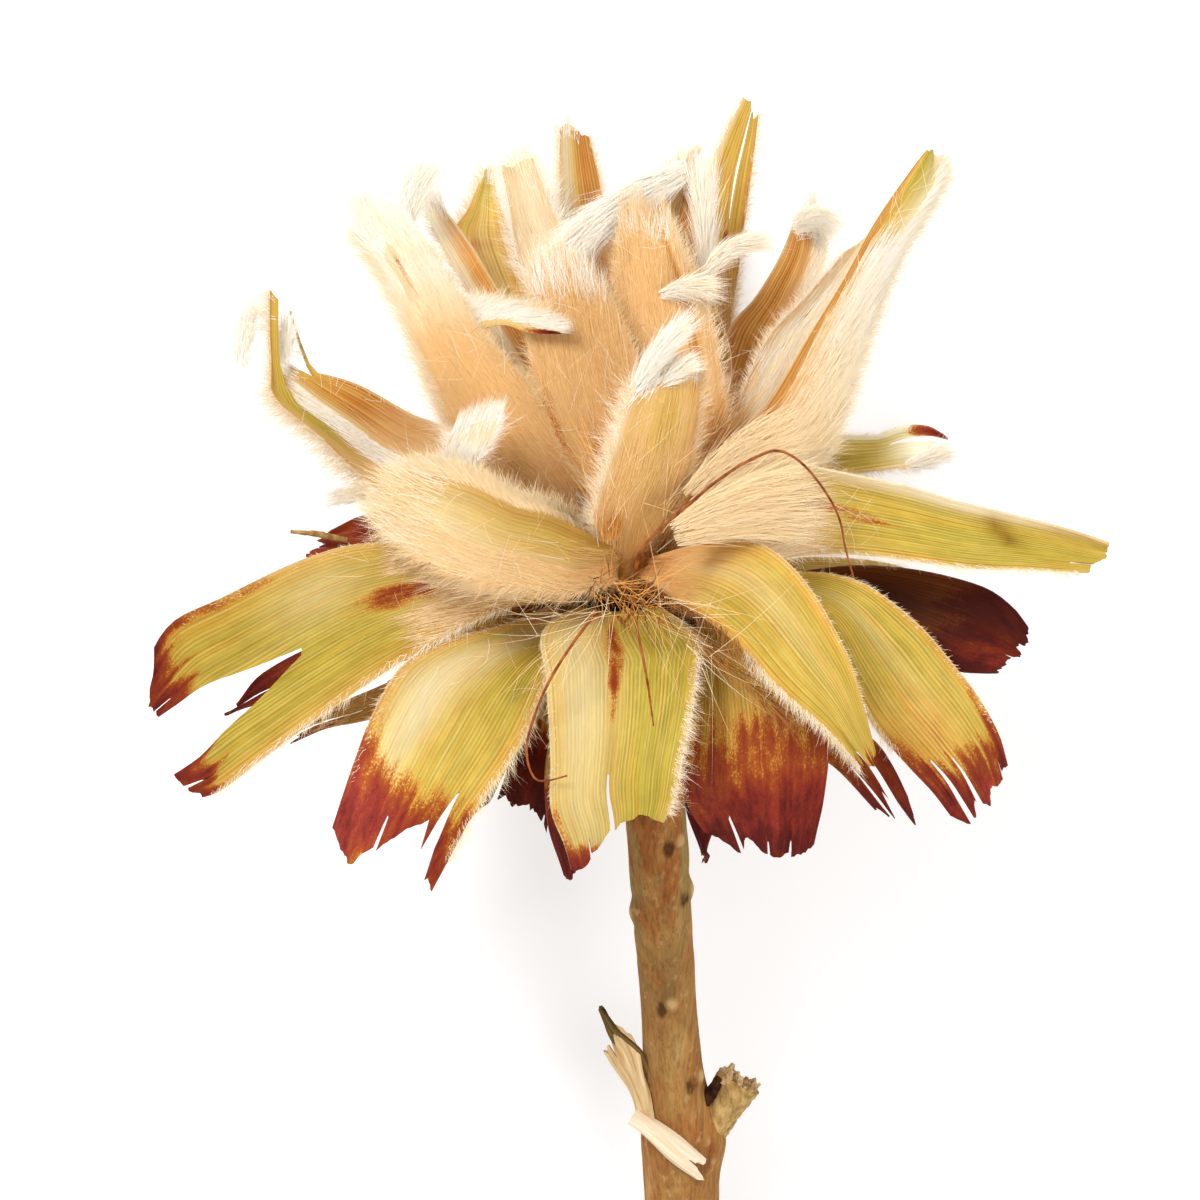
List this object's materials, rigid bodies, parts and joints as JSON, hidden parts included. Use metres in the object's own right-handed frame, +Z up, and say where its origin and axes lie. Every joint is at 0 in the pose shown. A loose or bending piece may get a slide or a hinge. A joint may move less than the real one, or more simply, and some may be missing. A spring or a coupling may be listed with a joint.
{
  "type": "dried protea flower head",
  "caption": "Dried, opened protea flower head on a short woody stem, laid down: reflexed olive and red bracts below, upright woolly peach bracts above.",
  "frame": {"origin": "centre of the bounding box at its underside, on the surface the flower lies on", "axes": "+Y from the stem's cut end towards the top of the head, +Z up from the surface, +X to the right of the head as seen from above"},
  "size_m": [0.1146, 0.1598, 0.0777],
  "materials": {
    "olive_bract": "dry leathery bract, satin, finely ribbed along its length",
    "woolly_bract": "dry bract covered in short silky peach and cream wool",
    "red_bract": "dry leathery bract, rust to dark red, satin, frayed tip",
    "stem_bark": "dry woody bark, matte, lightly fissured",
    "receptacle_wood": "dark woody core covered in brown hair",
    "style_skin": "thin dry reddish style, satin"
  },
  "bodies": {
    "root": {"stem": "stem_bark", "receptacle": "receptacle_wood", "bract_front_centre": "olive_bract", "bract_front_left": "olive_bract", "bract_front_right": "red_bract", "bract_arching": "olive_bract", "bract_right_low": "olive_bract", "bract_right_dark": "red_bract", "bract_right_long": "olive_bract", "bract_right_small": "olive_bract", "bract_right_strips": "red_bract", "bract_left_forked": "olive_bract", "bract_left_maroon": "red_bract", "bract_left_fragment": "red_bract", "bract_left_under": "red_bract", "bract_low_maroon": "red_bract", "bract_low_narrow": "red_bract", "bract_low_sliver": "red_bract", "bract_upright_front": "woolly_bract", "bract_left_rolled": "woolly_bract", "bract_white_brush": "woolly_bract", "bract_left_hooked": "woolly_bract", "bract_left_broad": "woolly_bract", "bract_left_strip": "woolly_bract", "bract_peach_left": "woolly_bract", "bract_peach_right": "woolly_bract", "bract_upper_right": "woolly_bract", "bract_upper_right_back": "olive_bract", "bract_orange_fold": "olive_bract", "bract_top_pair": "olive_bract", "bract_bearded": "woolly_bract", "bract_top_brown": "olive_bract", "bract_top_cream": "woolly_bract", "bract_curled_sliver": "woolly_bract", "bract_golden": "olive_bract", "bract_under_1": "red_bract", "bract_under_2": "red_bract", "bract_under_3": "red_bract", "bract_under_4": "red_bract", "bract_under_5": "red_bract", "bract_under_6": "olive_bract", "bract_under_7": "olive_bract", "bract_under_8": "red_bract", "bract_under_9": "olive_bract", "bract_under_10": "olive_bract", "bract_under_11": "olive_bract", "bract_under_12": "woolly_bract", "bract_under_13": "woolly_bract", "bract_under_14": "woolly_bract", "bract_under_15": "woolly_bract", "bract_under_16": "woolly_bract", "bract_under_17": "woolly_bract", "bract_under_18": "woolly_bract", "style_long": "style_skin", "style_short": "style_skin", "style_hooked": "style_skin"}
  },
  "joints": []
}
